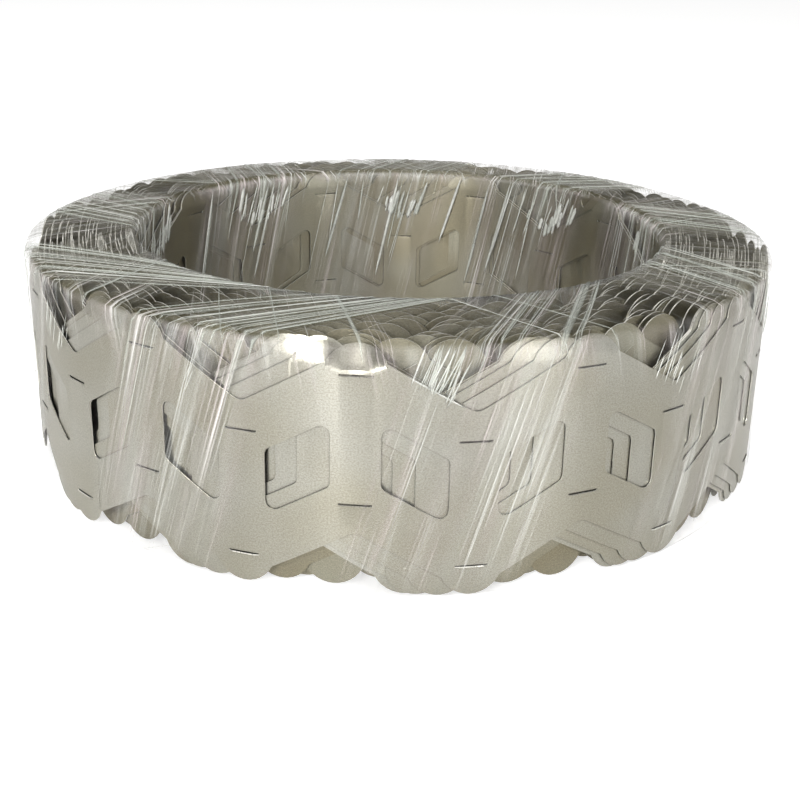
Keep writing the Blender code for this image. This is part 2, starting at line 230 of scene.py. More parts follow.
class Pattern:
    """The punched pattern, worked out from the strip's sizes."""

    def __init__(self, strip):
        self.slope = math.tan(SLOPE_ANGLE)
        self.pitch = strip.cell_pitch * math.cos(SLOPE_ANGLE)
        self.high = 0.75 * strip.cell_pitch
        self.low = 0.25 * strip.cell_pitch
        self.notch = self.low + strip.edge_margin
        self.tab = strip.tab_radius
        self.half_width = self.high + self.tab
        self.fillet = strip.notch_fillet
        edge_distance = strip.edge_margin * math.cos(SLOPE_ANGLE)
        half_chord = math.sqrt(self.tab**2 - edge_distance**2)
        self.shoulder = edge_distance * math.sin(SLOPE_ANGLE) + half_chord * math.cos(SLOPE_ANGLE)
        self.side = strip.window_side
        self.corner = strip.window_corner
        self.near = strip.bridge_width / 2
        self.far = self.pitch - self.near
        self.slot_length = strip.slot_length
        self.slot_width = strip.slot_width
        self.lip = strip.slot_lip
        self.fold = self.high + 0.75 * self.slot_width

    def upper_edge(self, along):
        """Height of the upper edge. The lower edge is the same, a column further on."""
        column = round(along / self.pitch)
        offset = abs(along - column * self.pitch)
        if column % 2:
            reach = self.fillet * math.sin(SLOPE_ANGLE)
            if offset < reach:
                middle = self.notch + self.fillet / math.cos(SLOPE_ANGLE)
                return middle - math.sqrt(self.fillet**2 - offset**2)
            return self.notch_edge(offset)
        if offset < self.shoulder:
            return self.high + math.sqrt(self.tab**2 - offset**2)
        return self.notch_edge(self.pitch - offset)

    def notch_edge(self, aside):
        """Height of a notch's sloping edge, at a distance from the notch's middle."""
        return self.notch + self.slope * abs(aside)

    def edges(self, along):
        """Bottom and top of the strip."""
        return -self.upper_edge(along + self.pitch), self.upper_edge(along)

    def window_top(self, from_high):
        """Top of a window, at a distance from the high column beside it."""
        near_middle = self.near + self.corner
        far_middle = self.far - self.corner
        drop = self.corner / math.cos(SLOPE_ANGLE)
        from_high = min(max(from_high, self.near), self.far)

        def slope_at(distance):
            return self.slope * (self.pitch / 2 - distance) + self.side / 2

        def corner_at(middle):
            rise = self.corner**2 - (from_high - middle) ** 2
            return slope_at(middle) - drop + math.sqrt(max(0.0, rise))

        if from_high < near_middle + self.corner * math.sin(SLOPE_ANGLE):
            return corner_at(near_middle)
        if from_high > far_middle + self.corner * math.sin(SLOPE_ANGLE):
            return corner_at(far_middle)
        return slope_at(from_high)

    def window(self, start, end):
        """Bottom and top of the window at each end of a short stretch, or nothing on a bridge."""
        middle = (start + end) / 2
        column = math.floor(middle / self.pitch)
        if not self.near < middle - column * self.pitch < self.far:
            return []
        found = []
        for place in (start, end):
            from_left = place - column * self.pitch
            from_high = self.pitch - from_left if column % 2 else from_left
            found.append((-self.window_top(self.pitch - from_high), self.window_top(from_high)))
        return [found]

    def cells(self, column):
        """Heights of a column's two cells, which are its slots'."""
        return (-self.high, self.low) if column % 2 else (-self.low, self.high)

    def slots(self, start, end):
        """Slots over a short stretch, and breaks just clear of them that keep their lips short."""
        column = round((start + end) / 2 / self.pitch)
        found = []
        for height in self.cells(column):
            below, above = height - self.slot_width / 2, height + self.slot_width / 2
            if abs((start + end) / 2 - column * self.pitch) < self.slot_length / 2:
                found.append([(below, above)] * 2)
            for break_at in (below - 2 * self.slot_width, above + 2 * self.slot_width):
                if abs(break_at) < self.high:
                    found.append([(break_at, break_at)] * 2)
        return found

    def folds(self, start, end):
        """Lines across a tab, at its lowest fold and above, that let it bend."""
        column = round((start + end) / 2 / self.pitch)
        which, side = (0, -1) if column % 2 else (1, 1)
        found = []
        for share in FOLD_SHARES:
            line = []
            for place in (start, end):
                edge = abs(self.edges(place)[which])
                line.append((side * (self.fold + share * (edge - self.fold)),) * 2)
            found.append(line)
        return found

    def holes(self, start, end):
        """All that interrupts the metal over a short stretch, from the bottom up."""
        column = round((start + end) / 2 / self.pitch)
        offset = abs((start + end) / 2 - column * self.pitch)
        found = self.slots(start, end) if offset < self.near else self.window(start, end)
        if offset < self.shoulder:
            found += self.folds(start, end)
        return sorted(found)

    def slot_lift(self, along, height):
        """How far a point is pushed out: only the inner points of a slot's lower edge are."""
        column = round(along / self.pitch)
        if abs(along - column * self.pitch) > 0.8 * self.slot_length / 2:
            return 0.0
        from_edge = min(abs(height - cell + self.slot_width / 2) for cell in self.cells(column))
        return self.lip if from_edge < 0.1 * self.slot_width else 0.0

    def stations(self, first, last, punched):
        """Places along the strip where its outline has a vertex, between two columns."""
        arc = [self.tab * math.sin(math.radians(step)) for step in ARC_STEPS]
        offsets = arc + [self.shoulder, self.fillet / 4, self.fillet / 2, self.pitch / 2]
        if punched:
            acute = self.corner * (1 + math.sin(SLOPE_ANGLE))
            obtuse = self.corner * (1 - math.sin(SLOPE_ANGLE))
            offsets += [self.slot_length / 2, self.near, self.near + 0.12 * self.corner]
            offsets += [self.near + obtuse, self.near + self.corner, self.near + acute]
        found = set()
        for column in range(first, last + 1):
            found.add(column * self.pitch)
            if column < last:
                found.update(column * self.pitch + offset for offset in offsets)
            if column > first:
                found.update(column * self.pitch - offset for offset in offsets)
        ordered = sorted(found)
        closest = 0.05 * MM
        return [ordered[0]] + [b for a, b in zip(ordered, ordered[1:]) if b - a > closest]


class Winding:
    """The spiral that the strip lies on."""

    def __init__(self, coil, pattern):
        self.radius = coil.outer_radius
        self.bore = coil.bore_radius
        self.pitch = coil.turn_pitch
        self.shift = coil.bore_shift
        self.front = coil.front_column
        self.wander = coil.wander
        self.ripple = coil.ripple
        self.reach = coil.rim_reach
        self.leans = (coil.wall_lean, coil.bore_lean, coil.pressed_lean)
        self.pressed = (coil.pressed_at, coil.pressed_spread)
        self.fold_rise = coil.fold_rise
        self.pattern = pattern
        self.middle = (FILM_LOW.z + FILM_HIGH.z) / 2

    def turned(self, along):
        """Angle wound from the front column to a place along the strip."""
        root = math.sqrt(self.radius**2 - self.pitch * along / math.pi)
        return (self.radius - root) * 2 * math.pi / self.pitch

    def along(self, turned):
        """Distance along the strip to where it has wound through an angle."""
        return self.radius * turned - self.pitch * turned**2 / (4 * math.pi)

    def place(self, direction, radius, height):
        """A point of the coil. Deeper turns sit further back."""
        depth = (self.radius - radius) / (self.radius - self.bore)
        back = self.shift * min(max(depth, 0.0), 1.0)
        return Vector((
            radius * math.sin(direction), back - radius * math.cos(direction),
            self.middle + height,
        ))

    def carry(self, along, height):
        """Where a point of the flat strip lies once it is wound."""
        turned = self.turned(along)
        direction = self.front + turned
        radius = self.radius - self.pitch * turned / (2 * math.pi)
        # The wall strays from round in slow waves and quicker ones.
        waves = math.sin(5 * direction + 0.6) + 0.6 * math.sin(13 * direction + 2.1)
        waves += 0.35 * math.sin(23 * direction + 4.0)
        radius += self.ripple * waves + self.pattern.slot_lift(along, height)
        radius, height = self.bent(direction, radius, height)
        stray = math.sin(0.83 * turned + 1.0) + math.sin(2.31 * turned)
        stray += math.sin(1.47 * turned + 2.0)
        return self.place(direction, radius, height + self.wander * stray / 3)

    def bent(self, direction, radius, height):
        """Radius and height of a point once the film has bent the tab that it is on."""
        fold = self.pattern.fold
        if height > 0:
            side = apart(direction, self.pressed[0]) * self.radius / self.pattern.shoulder
            fold += self.fold_rise * min(side**2, 1.0)
        above = abs(height) - fold
        if above <= 0:
            return radius, height
        start = 0.2 * (self.pattern.half_width - fold)
        lean = self.lean(direction, radius, height > 0) * min(above / start, 1.0)
        height = math.copysign(fold + above * math.cos(lean), height)
        return radius - above * math.sin(lean), height

    def lean(self, direction, radius, upper):
        """How far the tabs in a place are bent towards the middle of the coil's section."""
        wall_lean, bore_lean, pressed_lean = self.leans
        near_wall = max(0.0, 1 - (self.radius - radius) / self.reach)
        near_bore = max(0.0, 1 - (radius - self.bore) / self.reach)
        uneven = 1 + 0.6 * math.sin(7 * direction + 1.0) * math.sin(3 * direction + 4.0)
        share = apart(direction, self.pressed[0]) / self.pressed[1]
        at_wall = wall_lean * uneven + pressed_lean * math.exp(-(share**2))
        lean = near_wall * at_wall - near_bore * bore_lean * uneven
        return lean if upper else LOWER_TAB_SHARE * lean


def strip_surface(pattern, winding, first, last, punched):
    """A run of wound strip between two columns: an open surface, with flat places as its UVs."""
    stations = pattern.stations(first, last, punched)
    heights = [set(pattern.edges(at)) for at in stations]
    stretches = []
    for index, (start, end) in enumerate(zip(stations, stations[1:])):
        left, right = [pattern.edges(start)[0]], [pattern.edges(end)[0]]
        for at_start, at_end in pattern.holes(start, end) if punched else []:
            left.extend(at_start)
            right.extend(at_end)
        left.append(pattern.edges(start)[1])
        right.append(pattern.edges(end)[1])
        heights[index].update(left)
        heights[index + 1].update(right)
        stretches.append((left, right))

    bm = bmesh.new()
    flat = bm.loops.layers.uv.new("flat")
    lines = []
    for along, line in zip(stations, heights):
        made = []
        for height in sorted(line):
            made.append((height, bm.verts.new(winding.carry(along, height))))
        lines.append(made)
    for index, (left, right) in enumerate(stretches):
        for part in range(0, len(left), 2):
            corners = []
            for side, span in ((index + 1, right), (index, left)):
                bottom, top = span[part], span[part + 1]
                line = [(v, stations[side], h) for h, v in lines[side] if bottom <= h <= top]
                corners.extend(line if side > index else reversed(line))
            if len(corners) < 3:
                continue
            face = bm.faces.new([vert for vert, _, _ in corners])
            face.smooth = True
            for loop, (_, along, height) in zip(face.loops, corners):
                loop[flat].uv = (along, height)
    return bm


def new_piece(name, bm, material, node):
    """A piece from bm, which stands for a CAD node and moves with the part."""
    mesh = bpy.data.meshes.new(name)
    bm.to_mesh(mesh)
    bm.free()
    piece = bpy.data.objects.new(name, mesh)
    bpy.context.scene.collection.objects.link(piece)
    mesh.materials.append(material)
    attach(piece, "root")
    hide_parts(node)
    return piece


def thicken(piece, thickness):
    """Give an open surface its thickness on the inner side, with crisp edges."""
    solidify = piece.modifiers.new("thickness", "SOLIDIFY")
    solidify.thickness = thickness
    solidify.offset = -1
    solidify.material_offset_rim = 1
    depsgraph = bpy.context.evaluated_depsgraph_get()
    solid = bpy.data.meshes.new_from_object(piece.evaluated_get(depsgraph))
    piece.modifiers.clear()
    old, piece.data = piece.data, solid
    bpy.data.meshes.remove(old)
    solid.name = piece.name
    solid.shade_smooth()
    solid.set_sharp_from_angle(angle=SMOOTH_ANGLE)


class Section:
    """The film's way round the coil's section: up the wall, over the top, down the bore, out."""

    def __init__(self, winding, pattern, film):
        self.outside = winding.radius + film.clearance
        self.inside = winding.bore - film.clearance
        self.half = pattern.half_width + film.clearance
        self.corner = film.corner
        self.wall = 2 * (self.half - self.corner)
        self.top = self.outside - self.inside - 2 * self.corner
        self.bend = self.corner * math.pi / 2
        self.over = self.top + 2 * self.bend
        self.lap = 2 * (self.wall + self.over)

    def at(self, distance):
        """Radius and height there, and the direction that faces away from the coil."""
        wall, rim = self.half - self.corner, self.corner
        sides = (
            ((self.outside, -wall), (0, 1), (1, 0), self.wall),
            ((self.outside - rim, self.half), (-1, 0), (0, 1), self.top),
            ((self.inside, wall), (0, -1), (-1, 0), self.wall),
            ((self.inside + rim, -self.half), (1, 0), (0, -1), self.top),
        )
        distance %= self.lap
        for start, ahead, away, size in sides:
            if distance <= size + self.bend:
                break
            distance -= size + self.bend
        straight = min(distance, size)
        turn = max(distance - size, 0.0) / self.corner
        facing = tuple(math.cos(turn) * a + math.sin(turn) * b for a, b in zip(away, ahead))
        radius, height = (
            start[axis] + ahead[axis] * straight + self.corner * (facing[axis] - away[axis])
            for axis in (0, 1)
        )
        return radius, height, facing


class Band:
    """The way of the film's middle line on one of its times round the ring.

    It is drawn tight over the top, so it is straight there. Its rake is how far it leans from the
    shortest way to the bore where it leaves the wall, lap by lap.
    """

    def __init__(self, section, laps, front, wall_turn, rakes):
        self.section = section
        self.lap_turn = 2 * math.pi / laps
        self.front = front
        self.wall_turn = wall_turn
        self.rakes = rakes

    def direction(self, distance):
        """Direction of the middle line, after a distance round the section and round again."""
        wall, over = self.section.wall, self.section.over
        lap, rest = divmod(distance, self.section.lap)
        rake = self.rakes[int(lap) % len(self.rakes)]
        found = self.front - self.wall_turn / 2 + lap * self.lap_turn
        if rest < wall:
            return found + self.wall_turn * rest / wall
        found += self.wall_turn
        rest -= wall
        if rest < over:
            return found + self.tight_turn(rake, self.section.at(distance)[0])
        tight = self.tight_turn(rake, self.section.inside)
        found += tight
        rest -= over
        if rest < wall:
            return found + self.wall_turn * rest / wall
        under = self.lap_turn - 2 * self.wall_turn - tight
        return found + self.wall_turn + under * (rest - wall) / over

    def tight_turn(self, rake, radius):
        """How far round a straight line has come, from the wall in to a radius."""
        share = self.section.outside / max(radius, self.section.inside)
        return math.asin(share * math.sin(rake)) - rake

    def beside(self, distance, aside):
        """Direction of a place beside the middle line."""
        return self.direction(distance) + aside / self.section.at(distance)[0]

    def side(self, distance):
        """The side of the section that a distance is on, 0 to 3, and how far along it, 0 to 1."""
        wall, over = self.section.wall, self.section.over
        rest = distance % self.section.lap
        for side, size in enumerate((wall, over, wall, over)):
            if rest <= size:
                return side, rest / size
            rest -= size
        return 3, 1.0


def film_point(winding, section, distance, direction, lift):
    """A point above the film's way round the section."""
    radius, height, facing = section.at(distance)
    return winding.place(direction, radius + lift * facing[0], height + lift * facing[1])


def film_skin(winding, band, film, width, covers, seed):
    """One time round with the film, pleated along its length by the stretch.

    The attribute called cover says how thickly the film lies, and it falls to nothing at the
    edges. Its values here are for the walls, for over the top, and how much it thins at the front.
    """
    bm = bmesh.new()
    flat = bm.loops.layers.uv.new("flat")
    cover = bm.verts.layers.float.new("cover")
    on_wall, on_top, thinning = covers
    section = band.section
    columns = round(PLEAT_COLUMNS * width / film.pleat_pitch)
    rows = []
    for step in range(film.laps * SKIN_ROWS):
        distance = step / SKIN_ROWS * section.lap
        middle = band.direction(distance)
        radius = section.at(distance)[0]
        side, share = band.side(distance)
        # Up the wall's last quarter it thickens to what lies over the top.
        near_rim = max(0.0, 4 * share - 3) ** 2
        rising = on_wall + (on_top - on_wall) * near_rim
        # Up the wall, over the top, down the bore and under the coil.
        thickness = (rising, on_top, 0.8 * on_wall, 0.3 * on_wall)[side]
        if side == 0:
            # It starts thin at the wall's foot.
            thickness *= min(1.0, 0.3 + 4 * share)
        if side == 1:
            away = apart(middle, film.thin_at) / film.thin_spread
            thickness *= 1 - thinning * math.exp(-(away**2))
        row = []
        for column in range(columns + 1):
            across = (column / columns - 0.5) * width
            # The pleats and the film's edges wander, and pleats fade in and out on their way.
            wander = noise.noise(Vector((across / (9 * MM), distance / (30 * MM), 3.7 + seed)))
            crease = (across + 2.2 * MM * wander) / film.pleat_pitch
            fold = noise.noise(Vector((crease, distance / (45 * MM), 0.5 + seed)))
            lift = film.pleat_height * (1 - 2 * abs(fold))
            from_edge = width / 2 - abs(across) - 2 * MM * abs(wander)
            vert = bm.verts.new(
                film_point(winding, section, distance, middle + across / radius, lift)
            )
            vert[cover] = thickness * min(max(from_edge / film.fade, 0.0), 1.0)
            row.append(vert)
        rows.append(row)
    for index, row in enumerate(rows):
        ahead = rows[(index + 1) % len(rows)]
        for column in range(columns):
            face = bm.faces.new((row[column], row[column + 1], ahead[column + 1], ahead[column]))
            face.smooth = True
            for loop, (right, up) in zip(face.loops, ((0, 0), (1, 0), (1, 1), (0, 1))):
                across = (column + right) / columns * width
                loop[flat].uv = (across, (index + up) / SKIN_ROWS * section.lap)
    return bm


def spaced(start, end, steps):
    """Distances at even steps, with both ends."""
    return [start + (end - start) * step / steps for step in range(steps + 1)]


class Strands:
    """Strands of gathered film that lie on the skin, as one mesh."""

    def __init__(self, winding, section, seed):
        self.winding = winding
        self.section = section
        self.draw = random.Random(seed)
        self.bm = bmesh.new()
        self.flat = self.bm.loops.layers.uv.new("flat")

    def lay(self, distances, directions, width, lift, tone):
        """Lay one through directions at distances round the section. Sizes are in millimetres."""
        points, facings = [], []
        for distance, direction in zip(distances, directions):
            points.append(
                film_point(self.winding, self.section, distance, direction, lift * MM)
            )
            out, up = self.section.at(distance)[2]
            facings.append(Vector((out * math.sin(direction), -out * math.cos(direction), up)))
        self.shape(points, facings, width * MM, tone)

    def shape(self, points, facings, width, tone):
        """A thin lens in section, drawn to a point at both ends."""
        depth = min(0.5 * width, 0.12 * MM)
        last = len(points) - 1
        rings = []
        for index, (point, facing) in enumerate(zip(points, facings)):
            if index in (0, last):
                rings.append([self.bm.verts.new(point)])
                continue
            side = (points[index + 1] - points[index - 1]).cross(facing).normalized()
            swell = min(1.0, 5 * min(index, last - index) / last) / 2
            rings.append([
                self.bm.verts.new(point + way * (size * swell))
                for way, size in ((side, width), (facing, depth), (-side, width), (-facing, depth))
            ])
        for index, (ring, ahead) in enumerate(zip(rings, rings[1:])):
            for corner in range(4):
                following = (corner + 1) % 4
                around = (
                    ring[corner % len(ring)], ring[following % len(ring)],
                    ahead[following % len(ahead)], ahead[corner % len(ahead)],
                )
                # A ring of one point gives a triangle.
                face = self.bm.faces.new(list(dict.fromkeys(around)))
                face.smooth = True
                for loop in face.loops:
                    loop[self.flat].uv = (tone, index * MM)


def band_strands(winding, band, film, count, long_share, seed):
    """Strands that run with the film over the top, a share of them from low on the wall."""
    section = band.section
    strands = Strands(winding, section, seed)
    draw = strands.draw
    for lap in range(film.laps):
        raked = abs(band.rakes[lap % len(band.rakes)]) > math.radians(40)
        for place in range(count * (2 if raked else 1)):
            is_long = draw.random() < long_share
            lowest, furthest = (0.3, 0.6) if is_long else (0.9, 0.2)
            start = lap * section.lap + draw.uniform(lowest, 0.99) * section.wall
            end = (lap * section.lap + section.wall + section.over
                   + draw.uniform(0.02, furthest) * section.wall)
            across = draw.triangular(-0.46, 0.46, 0.0) * film.width
            slew = draw.gauss(0.0, 0.8) * MM
            distances = spaced(start, end, round((end - start) / (1.6 * MM)))
            directions = []
            for distance in distances:
                waver = noise.noise(Vector((distance / (20 * MM), across / (0.2 * MM), 1.5)))
                share = (distance - start) / (end - start)
                aside = across + slew * (share - 0.5) + 0.25 * MM * waver
                directions.append(band.beside(distance, aside))
            # Every fourth is a broad fold rather than a thread.
            if place % 4 == 0:
                width, tone = draw.uniform(0.4, 0.8), draw.uniform(0.0, 0.3)
            else:
                width, tone = draw.choice((0.09, 0.12, 0.2)), draw.random()
            if is_long:
                tone *= 0.5
            strands.lay(distances, directions, width, draw.uniform(0.08, 0.16), tone)
    return strands.bm


def bore_strands(winding, band, film):
    """White folds that the film makes down the bore, most of them just below its rim."""
    section = band.section
    strands = Strands(winding, section, 17)
    draw = strands.draw
    for lap in range(film.laps):
        rim = lap * section.lap + section.wall + section.over
        for _ in range(9):
            start = rim - draw.uniform(-1.0, 2.0) * MM
            end = start + draw.triangular(0.15, 0.9, 0.3) * section.wall
            across = draw.gauss(0.0, 0.22) * film.width
            slew = draw.gauss(0.3, 0.6) * MM
            distances = spaced(start, end, 12)
            directions = [
                band.beside(distance, across + slew * step / 12)
                for step, distance in enumerate(distances)
            ]
            strands.lay(distances, directions, draw.choice((0.12, 0.2, 0.35, 0.6)),
                        draw.uniform(0.05, 0.12), draw.uniform(0.2, 0.9))
    return strands.bm


def notch_strands(winding, section, pattern):
    """Short white wrinkles where the film is drawn over the notches of the outermost turn."""
    strands = Strands(winding, section, 23)
    draw = strands.draw
    columns = round(2 * math.pi * winding.radius / (2 * pattern.pitch))
    for column in range(columns):
        middle = winding.front + (2 * column + 1) * pattern.pitch / winding.radius
        # The film is gathered most beside the bent tabs.
        crowd, spread = (28, (-9.5, -3.0, -6.5)) if column == 0 else (
            draw.choice((4, 8, 16)), (-7.5, 5.0, -3.0))
        for _ in range(crowd):
            left = draw.triangular(*spread) * MM
            edge = section.wall / 2 + pattern.notch_edge(left)
            start = edge - draw.uniform(-0.3, 1.6) * MM
            end = min(start + draw.uniform(2.5, 7.5) * MM, section.wall + 2.2 * MM)
            lean = math.tan(draw.gauss(0.36, 0.07))
            distances = spaced(start, end, 5)
            directions = [
                middle + (left + lean * (distance - start)) / section.outside
                for distance in distances
            ]
            strands.lay(distances, directions, draw.choice((0.09, 0.12, 0.18, 0.26)),
                        draw.uniform(0.05, 0.15), draw.uniform(0.5, 1.0))

    # Beside the bent tabs the film is caught on the strip's edge: this strand, white all along, is
    # partly that film and partly a painted highlight for its shine.
    middle = winding.front + pattern.pitch / winding.radius
    lefts = [(-9.5 + step) * MM for step in range(9)]
    strands.lay(
        [section.wall / 2 + pattern.notch_edge(left) for left in lefts],
        [middle + left / section.outside for left in lefts], 0.22, -0.15, 1.0,
    )
    return strands.bm


def bore_notch_strands(winding, section, pattern, turns):
    """White wrinkles where the film is drawn over the notches at the bore's rim."""
    strands = Strands(winding, section, 29)
    draw = strands.draw
    rim = section.wall + section.over
    first, last = column_at(winding, turns - 1), column_at(winding, turns)
    for column in range(first + 1 - first % 2, last, 2):
        middle = winding.front + winding.turned(column * pattern.pitch)
        for _ in range(draw.choice((5, 10, 16))):
            left = draw.triangular(-7.0, 7.0, draw.choice((-3.0, 2.0))) * MM
            edge = rim + section.wall / 2 - pattern.notch_edge(left)
            end = edge + draw.uniform(-1.0, 1.2) * MM
            start = max(rim - 0.8 * MM, end - draw.uniform(1.5, 6.0) * MM)
            lean = draw.gauss(0.3, 0.06)
            distances = spaced(start, end, 5)
            directions = [
                middle + (left + lean * (distance - end)) / section.inside
                for distance in distances
            ]
            strands.lay(distances, directions, draw.choice((0.25, 0.5, 0.9)),
                        draw.uniform(0.05, 0.12), draw.uniform(0.4, 1.0))
    return strands.bm


def add_node(tree, kind, inputs=None, **settings):
    """Add a shader node with its settings, its values and the links into it."""
    node = tree.nodes.new("ShaderNode" + kind)
    for name, value in settings.items():
        setattr(node, name, value)
    for socket, value in (inputs or {}).items():
        if isinstance(value, bpy.types.NodeSocket):
            tree.links.new(value, node.inputs[socket])
        else:
            node.inputs[socket].default_value = value
    return node


def new_material(name):
    """An empty node material, and its tree."""
    material = bpy.data.materials.new(name)
    material.use_nodes = True
    material.node_tree.nodes.clear()
    return material, material.node_tree


def flat_scale(tree, across, along):
    """Flat coordinates in units of a real size each way."""
    uv = add_node(tree, "UVMap", uv_map="flat")
    return reckon(
        tree, "MULTIPLY", uv.outputs[0], (1 / across, 1 / along, 1.0), kind="VectorMath"
    )


def noise_at(tree, across, along, detail=2.0, shift=0.0):
    """Noise on the flat coordinates, stretched to a size each way."""
    place = flat_scale(tree, across, along)
    if shift:
        place = reckon(tree, "ADD", place, (shift, shift, 0.0), kind="VectorMath")
    return add_node(tree, "TexNoise", {"Vector": place, "Scale": 1.0, "Detail": detail}).outputs[0]


def span(tree, value, low, high, to_low=0.0, to_high=1.0):
    """A value carried from one range to another, and held there."""
    return add_node(tree, "MapRange", {
        "Value": value, "From Min": low, "From Max": high, "To Min": to_low, "To Max": to_high,
    }).outputs[0]


def reckon(tree, operation, first, second, kind="Math", **settings):
    """The sum, product and so on of two values, or of two vectors."""
    inputs = {0: first, 1: second}
    return add_node(tree, kind, inputs, operation=operation, **settings).outputs[0]


def blend_colours(tree, factor, first, second):
    """One colour passing into another. Each is a finish's colour or a socket."""
    first, second = (
        end if isinstance(end, bpy.types.NodeSocket) else (*end, 1.0) for end in (first, second)
    )
    inputs = {"Factor": factor, 6: first, 7: second}
    return add_node(tree, "Mix", inputs, data_type="RGBA").outputs[2]


def surface(tree, shader, kind="OutputMaterial"):
    """Give a material or world its finished shader."""
    add_node(tree, kind, {"Surface": shader.outputs[0]})


def rolled_nickel(name, clean, warm, roughness, anisotropy):
    """Cold-rolled nickel, satin: fine lines along the strip, a grey that warms in patches, and
    painted shade where turns lie close.
    """
    material, tree = new_material(name)
    # The mill's lines are about 0.03 mm apart. They are drawn 0.3 mm apart, or none would show.
    lines = noise_at(tree, 14 * MM, 0.3 * MM, 3.0)
    # The orange-peel grain that glitters round a highlight is about 0.2 mm across.
    grain = noise_at(tree, 0.26 * MM, 0.22 * MM, 1.0)
    warmth = span(tree, noise_at(tree, 26 * MM, 18 * MM), 0.35, 0.65)
    base = blend_colours(tree, warmth, clean, warm)
    # Grains differ a little in brightness, which gives the speckle that the eye sees in shade.
    speckle = span(tree, grain, 0.3, 0.7, 0.82, 1.12)
    # Painted shade: turns lie 0.07 mm apart, so the colour is darkened where other metal is close,
    # for the dark line round each window and under each edge.
    crevice_painted_shade = add_node(
        tree, "AmbientOcclusion", {"Distance": 0.5 * MM}, samples=6, only_local=True
    )
    speckle_and_painted_shade = reckon(tree, "MULTIPLY", speckle, span(tree, crevice_painted_shade.outputs["AO"], 0.3, 0.9, 0.15))
    tinted = reckon(tree, "MULTIPLY", base, speckle_and_painted_shade, kind="VectorMath")
    both = reckon(tree, "ADD", lines, grain)
    bump = add_node(tree, "Bump", {"Height": both, "Strength": 0.25, "Distance": 0.03 * MM})
    # The rolled grain runs along the strip, so a highlight is drawn out across it, upright.
    tangent = add_node(tree, "Tangent", direction_type="UV_MAP", uv_map="flat")
    shader = add_node(tree, "BsdfPrincipled", {
        "Base Color": tinted, "Metallic": 1.0,
        "Roughness": span(tree, both, 0.6, 1.4, roughness - 0.05, roughness + 0.06),
        "Anisotropic": anisotropy, "Anisotropic Rotation": 0.25,
        "Tangent": tangent.outputs[0], "Normal": bump.outputs[0],
    })
    surface(tree, shader)
    return material


def cut_nickel(finishes):
    """The punched edge of the strip: sheared metal, paler than the rolled faces, partly as a
    painted highlight for the light that its edges catch.
    """
    material, tree = new_material("punched_nickel_edge")
    # Shearing leaves fine upright marks, drawn 0.2 mm apart.
    marks = noise_at(tree, 0.2 * MM, 4 * MM)
    shade = blend_colours(tree, marks, finishes.nickel, finishes.cut_edge_and_highlight)
    shader = add_node(tree, "BsdfPrincipled", {
        "Base Color": shade, "Metallic": 0.6, "Roughness": span(tree, marks, 0.3, 0.7, 0.25, 0.4),
    })
    surface(tree, shader)
    return material


def stretched_film(finishes):
    """Clear stretch film: all but invisible flat on, with white lines where the stretch ran that
    are partly painted glints.
    """
    material, tree = new_material("clear_stretch_film")
    # The white lines are partly the whitening of stretched film and partly painted glints, for the
    # light that the pleats' ridges catch.
    # Stretch lines are drawn from 0.3 to 0.8 mm apart; the finest real ones are too fine to show.
    hair_and_glints = span(tree, noise_at(tree, 0.24 * MM, 32 * MM), 0.55, 0.68)
    lines = span(tree, noise_at(tree, 0.75 * MM, 48 * MM, 2.0, 7.0), 0.52, 0.72)
    # They come in bunches, and a bunch fades in and out along its length.
    bunches = span(tree, noise_at(tree, 3.6 * MM, 30 * MM, 3.0, 3.0), 0.39, 0.58)
    veils = span(tree, noise_at(tree, 2.6 * MM, 40 * MM, 3.0, 11.0), 0.45, 0.80)
    fine = reckon(tree, "MULTIPLY", hair_and_glints, 0.50)
    coarse = reckon(tree, "MULTIPLY", lines, 0.30)
    streaks_and_glints = reckon(tree, "MULTIPLY", reckon(tree, "ADD", fine, coarse), bunches)
    facing = add_node(tree, "SeparateXYZ", {0: add_node(tree, "NewGeometry").outputs["Normal"]})
    on_top = span(tree, facing.outputs[2], 0.3, 0.8)
    # Over the top it lies loose and thicker, in a sheet that greys the tabs under it; its grey
    # there is painted shade, given below.
    least = span(tree, on_top, 0.0, 1.0, 0.04, 0.30)
    haze = reckon(tree, "MULTIPLY", veils, span(tree, on_top, 0.0, 1.0, 0.18, 0.40))
    whole = reckon(tree, "ADD", reckon(tree, "ADD", streaks_and_glints, haze), least)
    cover = add_node(tree, "Attribute", attribute_name="cover")
    alpha = reckon(tree, "MULTIPLY", whole, cover.outputs["Fac"], use_clamp=True)
    tint = span(tree, noise_at(tree, 3.0 * MM, 50 * MM, 1.0, 5.0), 0.4, 0.6)
    tinted = blend_colours(tree, tint, finishes.film, finishes.film_rose)
    # Painted shade: where the film faces up it is coloured a dark olive-grey, less so along its
    # streaks, for the dark room that it mirrors over the top.
    top_painted_shade = reckon(tree, "SUBTRACT", on_top, span(tree, streaks_and_glints, 0.10, 0.45))
    shade = blend_colours(tree, top_painted_shade, tinted, finishes.film_top_painted_shade)
    bump = add_node(tree, "Bump", {"Height": streaks_and_glints, "Strength": 0.5, "Distance": 0.1 * MM})
    shader = add_node(tree, "BsdfPrincipled", {
        "Base Color": shade, "Roughness": span(tree, veils, 0.0, 1.0, 0.20, 0.36), "IOR": 1.5,
        "Alpha": alpha, "Normal": bump.outputs[0],
    })
    surface(tree, shader)
    return material


